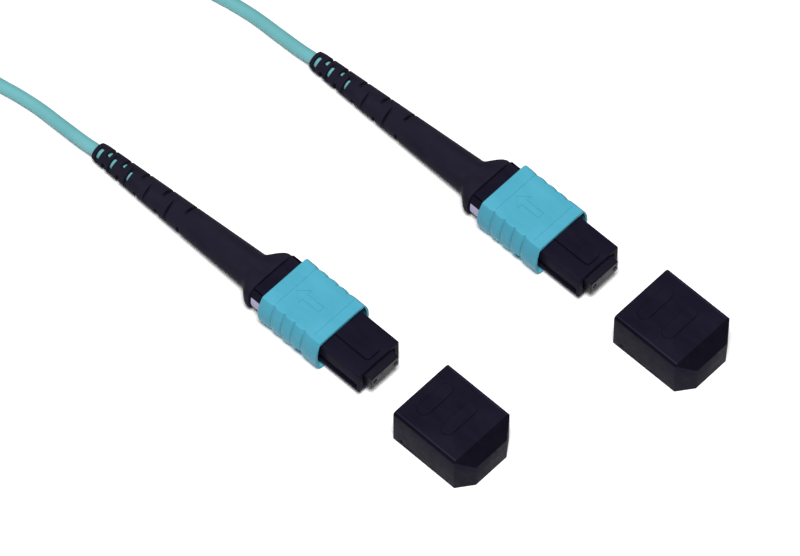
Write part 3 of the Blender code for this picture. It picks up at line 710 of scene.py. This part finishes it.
def make_mark_mesh():
    """A thin inlay whose face follows the housing's bulging side."""
    rows = 6
    flat, side, half_height = BLOCK
    rise = side - flat
    radius = (half_height ** 2 + rise ** 2) / (2.0 * rise)
    face, back = [], []
    low, high = MARK_HEIGHT
    for i in range(rows + 1):
        z = low + (high - low) * i / rows
        y = side - radius + math.sqrt(radius * radius - z * z)
        face.append((-y + MARK_SUNK, z))
        back.append((MARK_BACK, z))
    outline = face + list(reversed(back))
    return solid_mesh("position_mark", [at(x, outline) for x in MARK])


# ---------------------------------------------------------------- ferrule

FERRULE_FRONT = 22.3
FERRULE_BACK, SHOULDER_FRONT = 14.3, 16.3
FERRULE_HALF, FERRULE_RADIUS = (3.2, 1.25), 0.1
SHOULDER_HALF, SHOULDER_RADIUS = (3.55, 1.55), 0.15
FACE_CHAMFER = (0.2, 0.16)             # along and across
POCKET = ((13.0, 18.0), (-1.89, 1.89), (-0.75, 0.75))
GUIDE_SPACING, GUIDE_RADIUS = 4.6, 0.35
GUIDE_STATIONS = ((13.0, 0.0), (22.15, 0.0), (22.31, 0.08), (23.0, 0.08))  # where, and how much wider
FIBER_PITCH, FIBER_COUNT, FIBER_RADIUS = 0.25, 12, 0.0625
FIBER_END = (22.2, 22.305)


def make_ferrule_mesh():
    half_y, half_z = FERRULE_HALF
    shoulder = rounded_rectangle(*SHOULDER_HALF, SHOULDER_RADIUS)
    rings = [at(FERRULE_BACK, shoulder), at(SHOULDER_FRONT, shoulder),
             at(SHOULDER_FRONT, rounded_rectangle(half_y, half_z, FERRULE_RADIUS))]
    for back, inset in ((FACE_CHAMFER[0], 0.0), (0.0, FACE_CHAMFER[1])):
        outline = rounded_rectangle(half_y - inset, half_z - inset, FERRULE_RADIUS)
        rings.append(at(FERRULE_FRONT - back, outline))
    steps = [("DIFFERENCE", box_mesh("pocket", *POCKET))]
    for sign in (1.0, -1.0):
        middle = (sign * GUIDE_SPACING / 2.0, 0.0)
        hole = [at(x, circle(GUIDE_RADIUS + wider, 24, middle)) for x, wider in GUIDE_STATIONS]
        steps.append(("DIFFERENCE", solid_mesh("guide", hole)))
    return carved("mt_ferrule", solid_mesh("mt_ferrule", rings), steps)


def make_fiber_ends_mesh():
    """The polished ends of the fibres, standing a hair proud of the ferrule's face."""
    parts = []
    for i in range(FIBER_COUNT):
        middle = ((i - (FIBER_COUNT - 1) / 2.0) * FIBER_PITCH, 0.0)
        end = circle(FIBER_RADIUS, 12, middle)
        parts.append(solid_mesh("fiber_end", [at(x, end) for x in FIBER_END]))
    ends = merged("fiber_ends", parts)
    ends.materials.append(moulded_plastic("fiber_glass", (0.016, 0.015, 0.022), (0.026, 0.024, 0.034),
                                          roughness=0.15, grain=0.02))
    return ends


# ---------------------------------------------------------------- boot

BOOT_FRONT = -2.7
BOOT_NECK_RADIUS, BOOT_TAIL_RADIUS, BOOT_BORE_RADIUS = 3.14, 1.7, 1.2
BOOT_FLANGE_SHIFT = (-0.25, -0.3)
FLANGE_LEANS = -4.2                    # behind here the flange leans over to meet the neck
BORE_STRAIGHT, BORE_JOINS = -11.4, -20.0
# The flange's stations: x, half width, half height and the power of its superellipse.
BOOT_FLANGE = ((BOOT_FRONT, 5.13, 2.88, 4.0), (BOOT_FRONT - 0.05, 5.22, 2.97, 4.0),
               (BOOT_FRONT - 0.16, 5.25, 3.0, 4.0), (-3.5, 5.2, 3.0, 4.0), (-3.75, 5.1, 3.0, 3.9),
               (-4.0, 4.97, 3.0, 3.8), (-4.33, 4.71, 3.0, 3.6), (-4.67, 4.4, 3.0, 3.4),
               (-5.0, 4.09, 3.0, 3.1), (-5.3, 3.8, 3.0, 2.8), (-5.6, 3.53, 3.02, 2.5),
               (-5.86, 3.33, 3.05, 2.25), (-6.15, 3.2, 3.1, 2.08))
PUSH_RECESS, PUSH_RECESS_BACK = (4.2, 2.2), -3.75
RING_BORE = ((PUSH_RECESS_BACK, 1.95), (-9.1, 1.95), (-9.3, 1.62), (BORE_STRAIGHT, 1.62))
TAIL_EDGE = (0.4, 0.12)                # rounding at the tail's end, along and in
BOOT_STEPS, TAIL_STATIONS, BEND_STATIONS = 48, 40, 14
SLOT_STATIONS = (1.1, 2.7, 4.1, 6.0, 7.8, 10.1, 12.3, 15.0, 17.2, 20.2)
SLOTS_OPEN = 9.0                       # the slots nearer the tail's end reach the cable
OPEN_SLOT_FLOOR = 0.38                 # as a share of the boot's radius
SHUT_SLOT_FLOOR = BOOT_BORE_RADIUS + 0.1
SLOT_TILT = 45.0
SLOT_HALF_LENGTH, SLOT_TAPER = 0.40, 0.005
ENTRY_BACK = BOOT_TAIL + 0.72


def boot_radius(x):
    share = (x - BOOT_TAIL) / (BOOT_NECK - BOOT_TAIL)
    return BOOT_TAIL_RADIUS + (BOOT_NECK_RADIUS - BOOT_TAIL_RADIUS) * share


def bore_shift(x):
    """The bore's centreline: on the axis round the crimp ring, then in the tail's middle."""
    back = min(1.0, max(0.0, (BORE_STRAIGHT - x) / (BORE_STRAIGHT - BORE_JOINS)))
    share = back * back * (3.0 - 2.0 * back)
    return tuple(share * part for part in boot_shift(x))


def bend_stations():
    """Where the bore bends from the connector's axis to the tail's middle."""
    return [BORE_STRAIGHT + (BORE_JOINS - BORE_STRAIGHT) * i / BEND_STATIONS
            for i in range(BEND_STATIONS + 1)]


def boot_outside():
    """The flange's rings, then the tail's."""
    rings = []
    for x, y, z, power in BOOT_FLANGE:
        join = max(0.0, (FLANGE_LEANS - x) / (FLANGE_LEANS - BOOT_NECK)) ** 1.5
        middle = [near + (far - near) * join
                  for near, far in zip(BOOT_FLANGE_SHIFT, BOOT_NECK_SHIFT)]
        rings.append(at(x, superellipse(y, z, power, BOOT_STEPS, middle)))
    along, most = TAIL_EDGE
    for i in range(TAIL_STATIONS + 1):
        x = BOOT_NECK + (BOOT_TAIL - BOOT_NECK) * i / TAIL_STATIONS
        inset = most * max(0.0, 1.0 - (x - BOOT_TAIL) / along) ** 2
        rings.append(at(x, circle(boot_radius(x) - inset, BOOT_STEPS, boot_shift(x))))
    return rings


def boot_inside():
    """The recess for the spring push, the bore round the crimp ring, then the cable's bore."""
    recess = superellipse(*PUSH_RECESS, 4.0, BOOT_STEPS)
    rings = [at(BOOT_FRONT, recess), at(PUSH_RECESS_BACK, recess)]
    rings += [at(x, circle(radius, BOOT_STEPS)) for x, radius in RING_BORE]
    for x in bend_stations() + [BOOT_TAIL]:
        rings.append(at(x, circle(BOOT_BORE_RADIUS, BOOT_STEPS, bore_shift(x))))
    return rings


def slot_section(station):
    """A slot's outline along the boot and away from its middle, with rounded inner corners."""
    half_x = SLOT_HALF_LENGTH - SLOT_TAPER * station
    corner = 0.5 * half_x
    radius = boot_radius(BOOT_TAIL + station)
    low = OPEN_SLOT_FLOOR * radius if station < SLOTS_OPEN else SHUT_SLOT_FLOOR
    section = [(half_x, radius + 1.0), (-half_x, radius + 1.0)]
    for side, start in ((-1.0, 180.0), (1.0, 270.0)):
        for i in range(5):
            angle = math.radians(start + 90.0 * i / 4.0)
            section.append((side * (half_x - corner) + corner * math.cos(angle),
                            low + corner + corner * math.sin(angle)))
    return section


def make_slot_mesh(station, turn):
    """What one slot takes away, reaching in from the side that turn points to."""
    x = BOOT_TAIL + station
    shift_y, shift_z = boot_shift(x)
    half_y = boot_radius(x) + 0.5
    rings = []
    for y in (-half_y, half_y):
        rings.append([(x + along, shift_y + y * math.cos(turn) - up * math.sin(turn),
                       shift_z + y * math.sin(turn) + up * math.cos(turn))
                      for along, up in slot_section(station)])
    return solid_mesh("slot", rings)


def make_boot_mesh():
    body = tube_mesh("strain_relief_boot", boot_outside(), boot_inside())
    slots = []
    for index, station in enumerate(SLOT_STATIONS):
        tilt = math.radians(SLOT_TILT if index % 2 == 0 else -SLOT_TILT)
        slots += [make_slot_mesh(station, turn) for turn in (tilt, tilt + math.pi)]
    return carved("strain_relief_boot", body, [("DIFFERENCE", merged("slots", slots))])


def make_entry_mesh():
    """The end of the cable's jacket inside the boot, which shows through the open slots."""
    xs = [-9.2] + bend_stations() + [-30.0, ENTRY_BACK]
    return solid_mesh("cable_entry", [at(x, circle(CABLE_RADIUS, 32, bore_shift(x))) for x in xs])


# ---------------------------------------------------------------- dust cap

CAP_BACK, CAP_FRONT = 30.0, 45.4
CAP_HALF_WIDTH, CAP_TOP = 6.35, 3.95
CAP_EDGE = 0.6                         # rounding along both sides of the top
CAP_BEVEL = (2.2, 2.55)                # the sloping front edge, along and down
CAP_CORNER = (2.1, 2.85)               # the front corners, along and across
CAP_FOOT = (0.12, 0.035)               # the tight rounding along the bottom edges
BARS_AT = (33.1, 38.3)
BAR_HALF_LENGTH, BAR_HALF_WIDTH, BAR_RADIUS = 1.15, 3.7, 1.14
BAR_LEVELS = ((-0.3, 0.0), (0.06, 0.0), (0.12, 0.08))      # above the top, and how far in
GROOVE, GROOVE_HALF_WIDTH, GROOVE_DEPTH = (1.13, 1.25), 2.6, 0.12
CAP_HOLLOW = ((CAP_BACK - 1.0, CAP_BACK + 10.5), (-4.85, 4.85), (-2.65, 3.2))
DIMPLE_AT, DIMPLE_RADIUS = (31.9, -2.65), 0.26


def cap_section(inset=0.0):
    """The cap's outline across its axis, with rounded top edges and a tight bottom edge."""
    side, top, bottom = CAP_HALF_WIDTH - inset, CAP_TOP - inset, FLOOR + inset
    reach, knee = CAP_FOOT
    right = [(-side + reach, bottom), (-side + knee, bottom + knee), (-side, bottom + reach)]
    for i in range(9):
        angle = math.pi / 16.0 * i
        right.append((-side + CAP_EDGE * (1.0 - math.cos(angle)),
                      top - CAP_EDGE * (1.0 - math.sin(angle))))
    return right + [(-y, z) for y, z in reversed(right)]


def cutting_line(cut, edge):
    """A wedge that takes a slope off the cap's front; cut is its run along and across."""
    along, across = cut
    return [(CAP_FRONT - 1.5 * along, edge + 0.5 * across),
            (CAP_FRONT + 0.5 * along, edge - 1.5 * across),
            (CAP_FRONT + 3.0, edge - 1.5 * across), (CAP_FRONT + 3.0, edge + 0.5 * across)]


def make_bar_mesh(middle):
    """A low rounded bar across the cap's top."""
    ends = (middle - BAR_HALF_LENGTH, middle + BAR_HALF_LENGTH)
    levels = [(CAP_TOP + up, rounded_plan(ends, BAR_HALF_WIDTH, BAR_RADIUS, BAR_RADIUS, inset))
              for up, inset in BAR_LEVELS]
    return upright_mesh("ridge", levels)


def make_cap_mesh():
    body = solid_mesh("dust_cap", [at(CAP_BACK, cap_section(0.1)), at(CAP_BACK + 0.1, cap_section()),
                                   at(CAP_FRONT, cap_section())])
    slope = cutting_line(CAP_BEVEL, CAP_TOP)
    steps = [("DIFFERENCE", solid_mesh("bevel", [[(x, y, z) for x, z in slope] for y in (-8.0, 8.0)]))]
    corner = cutting_line(CAP_CORNER, CAP_HALF_WIDTH)
    for sign in (1.0, -1.0):
        wedge = solid_mesh("corner", [[(x, sign * y, z) for x, y in corner] for z in (-6.0, 6.0)])
        steps.append(("DIFFERENCE", wedge))
    for middle in BARS_AT:
        steps.append(("UNION", make_bar_mesh(middle)))
        groove = box_mesh("groove", [middle + x for x in GROOVE], (-GROOVE_HALF_WIDTH, GROOVE_HALF_WIDTH),
                          (CAP_TOP - GROOVE_DEPTH, CAP_TOP + 1.0))
        steps.append(("DIFFERENCE", groove))
    steps.append(("DIFFERENCE", box_mesh("cap_hollow", *CAP_HOLLOW)))
    for sign in (1.0, -1.0):
        dimple = solid_mesh("dimple", [[(DIMPLE_AT[0] + DIMPLE_RADIUS * y, sign * side,
                                         DIMPLE_AT[1] + DIMPLE_RADIUS * z)
                                        for y, z in circle(1.0, 16)] for side in (5.9, 7.0)])
        steps.append(("DIFFERENCE", dimple))
    return carved("dust_cap", body, steps, round_edges=0.1, segments=3)


# ---------------------------------------------------------------- coil tie

TIE_GAP, TIE_THICKNESS = 0.3, 0.5
TIE_EDGES = ((-1.5, 0.12), (-1.38, 0.0), (1.38, 0.0), (1.5, 0.12))     # across, and how far in


def make_tie_mesh():
    """A soft strap round the bundle, with rounded bends."""
    inside = COIL_INNER_TURN - CABLE_RADIUS - TIE_GAP
    outside = COIL_OUTER_TURN + CABLE_RADIUS + TIE_GAP
    bottom = FLOOR + COIL_LIFT - TIE_GAP
    top = bottom + 2.0 * CABLE_RADIUS * COIL_LAYERS + 2.0 * TIE_GAP
    middle = ((inside + outside) / 2.0, (bottom + top) / 2.0)
    half = ((outside - inside) / 2.0, (top - bottom) / 2.0)
    outer, inner = [], []
    for y, inset in TIE_EDGES:
        for rings, spread, radius in ((outer, TIE_THICKNESS - inset, 0.9), (inner, inset, 0.4)):
            outline = rounded_rectangle(half[0] + spread, half[1] + spread, radius)
            rings.append([(COIL_CENTRE[0] - middle[0] - a, COIL_CENTRE[1] + y, middle[1] + b)
                          for a, b in outline])
    return tube_mesh("coil_tie", outer, inner)


# ---------------------------------------------------------------- build the pieces

def finish_cad_node(node, finish):
    """Give a carried-over CAD node its finished material."""
    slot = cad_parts[node].material_slots[0]
    slot.link = "OBJECT"
    slot.material = FINISH[finish]


def make_pressed_piece(node, end, finish):
    """A spring or ribbon, copied from its CAD node with its finished material, riding with the cord."""
    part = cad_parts[node + "_" + end]
    piece = bpy.data.objects.new("pressed_" + part.name, part.data.copy())
    bpy.context.scene.collection.objects.link(piece)
    piece.matrix_world = part.matrix_world
    piece.data.materials.clear()
    piece.data.materials.append(FINISH[finish])
    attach(piece, "cord")
    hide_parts(part.name)
    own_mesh(piece)


def build_pieces():
    cable = make_cord()
    cable.data.materials.append(FINISH["cable_jacket"])
    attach(cable, "cord")
    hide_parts("cable_lead_a", "cable_lead_b", "cable_coil")
    sleeve, housing, mark = make_sleeve_mesh(), make_housing_mesh(), make_mark_mesh()
    ferrule, fibers = make_ferrule_mesh(), make_fiber_ends_mesh()
    boot, entry, cap = make_boot_mesh(), make_entry_mesh(), make_cap_mesh()
    for end in ENDS:
        place("sleeve", sleeve, end, "sleeve_" + end, "sleeve_plastic", ["coupling_sleeve"])
        place("housing", housing, end, "cord", "housing_plastic", ["front_housing"])
        place("mark", mark, end, "cord", "mark_paint", ["position_mark"])
        place("ferrule", ferrule, end, "ferrule_" + end, "ferrule_plastic", ["mt_ferrule"])
        place("fiber_ends", fibers, end, "ferrule_" + end, "fiber_coating")
        place("boot", boot, end, "cord", "boot_rubber", ["strain_relief_boot"])
        place("entry", entry, end, "cord", "cable_jacket", ["cable_entry"])
        place("cap", cap, end, "cap_" + end, "cap_plastic", ["dust_cap"])
        finish_cad_node("ferrule_boot_" + end, "inner_rubber")
        finish_cad_node("pin_keeper_" + end, "inner_plastic")
        finish_cad_node("spring_push_" + end, "inner_plastic")
        finish_cad_node("crimp_ring_" + end, "crimp_metal")
        for node, joint, travel, finish in PRESSED_NODES:
            make_pressed_piece(node, end, finish)
    tie = place("strap", make_tie_mesh(), "a", "cord", "tie_fabric")
    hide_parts("coil_tie")


build_pieces()

# ---------------------------------------------------------------- stage

KEY_LIGHT_AT, KEY_LIGHT_SIZE, KEY_LIGHT_POWER = (0.26, -0.26, 1.11), 0.4, 18.5
SKY_STRENGTH = 0.2
FLOOR_HALF, FLOOR_DROP = 4.0, 0.0001   # a hair below the object, so that nothing flickers


def make_floor():
    mesh_data = bmesh.new()
    for x, y in ((-1.0, -1.0), (1.0, -1.0), (1.0, 1.0), (-1.0, 1.0)):
        mesh_data.verts.new((x * FLOOR_HALF, y * FLOOR_HALF, -FLOOR_DROP))
    mesh_data.verts.ensure_lookup_table()
    mesh_data.faces.new(mesh_data.verts)
    mesh = bpy.data.meshes.new("floor")
    mesh_data.to_mesh(mesh)
    mesh_data.free()
    nodes = Nodes("floor")
    paper = nodes.noise(40.0, 3.0)
    nodes.link(nodes.colours(paper, (0.94, 0.94, 0.94), (0.95, 0.95, 0.95)),
               nodes.shader.inputs["Base Color"])
    nodes.shader.inputs["Roughness"].default_value = 0.9
    nodes.shader.inputs["Specular IOR Level"].default_value = 0.1
    mesh.materials.append(nodes.material)
    floor = bpy.data.objects.new("floor", mesh)
    bpy.context.scene.collection.objects.link(floor)


def make_light(name, place_at, aim, size, power):
    data = bpy.data.lights.new(name, "AREA")
    data.shape = "SQUARE"
    data.size = size
    data.energy = power
    light = bpy.data.objects.new(name, data)
    bpy.context.scene.collection.objects.link(light)
    light.location = place_at
    light.rotation_euler = (Vector(aim) - Vector(place_at)).to_track_quat("-Z", "Y").to_euler()


def make_stage():
    make_floor()
    make_light("key", KEY_LIGHT_AT, (0.0, 0.0, 0.0), KEY_LIGHT_SIZE, KEY_LIGHT_POWER)
    world = bpy.data.worlds.new("studio")
    world.use_nodes = True
    background = world.node_tree.nodes["Background"]
    background.inputs["Color"].default_value = (1.0, 1.0, 1.0, 1.0)
    background.inputs["Strength"].default_value = SKY_STRENGTH
    bpy.context.scene.world = world
    bpy.context.scene.view_settings.view_transform = "Standard"


make_stage()
